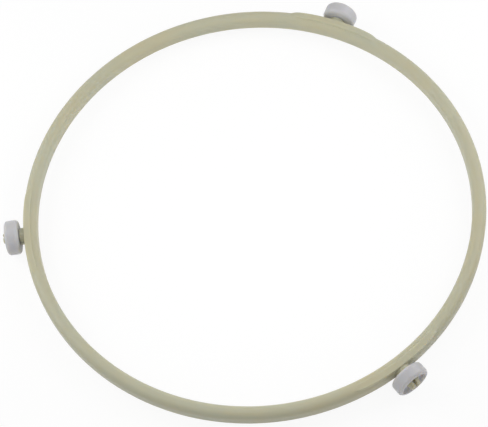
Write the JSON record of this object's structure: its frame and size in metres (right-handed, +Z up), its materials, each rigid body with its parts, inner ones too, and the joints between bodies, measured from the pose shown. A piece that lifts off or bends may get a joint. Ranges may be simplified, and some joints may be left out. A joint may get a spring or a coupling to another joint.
{
  "type": "microwave roller ring",
  "caption": "Thin moulded ring with free-turning rollers snapped on radial stub pins round its outside; it rolls on an oven floor and carries the turntable tray.",
  "frame": {"origin": "on the ring's axis, in the plane that the rollers run on", "axes": "+Z up along the ring's axis; -X through roller_2, with roller_1 and roller_3 at 120 degrees each side of it; -Y towards the viewer of the picture"},
  "size_m": [0.2089, 0.2, 0.015],
  "materials": {
    "ivory_plastic": "moulded, satin",
    "white_plastic": "moulded, satin"
  },
  "bodies": {
    "ring": {"carrier_ring": "ivory_plastic"},
    "first_roller": {"roller_1": "white_plastic"},
    "second_roller": {"roller_2": "white_plastic"},
    "third_roller": {"roller_3": "white_plastic"}
  },
  "joints": [
    {"name": "first_roller_spin", "type": "hinge", "parent": "ring", "child": "first_roller", "pos_m": [0.05175, 0.08963, 0.0075], "axis": [0.5, 0.866, 0], "continuous": true},
    {"name": "second_roller_spin", "type": "hinge", "parent": "ring", "child": "second_roller", "pos_m": [-0.1035, 0, 0.0075], "axis": [-1, 0, 0], "continuous": true},
    {"name": "third_roller_spin", "type": "hinge", "parent": "ring", "child": "third_roller", "pos_m": [0.05175, -0.08963, 0.0075], "axis": [0.5, -0.866, 0], "continuous": true}
  ]
}
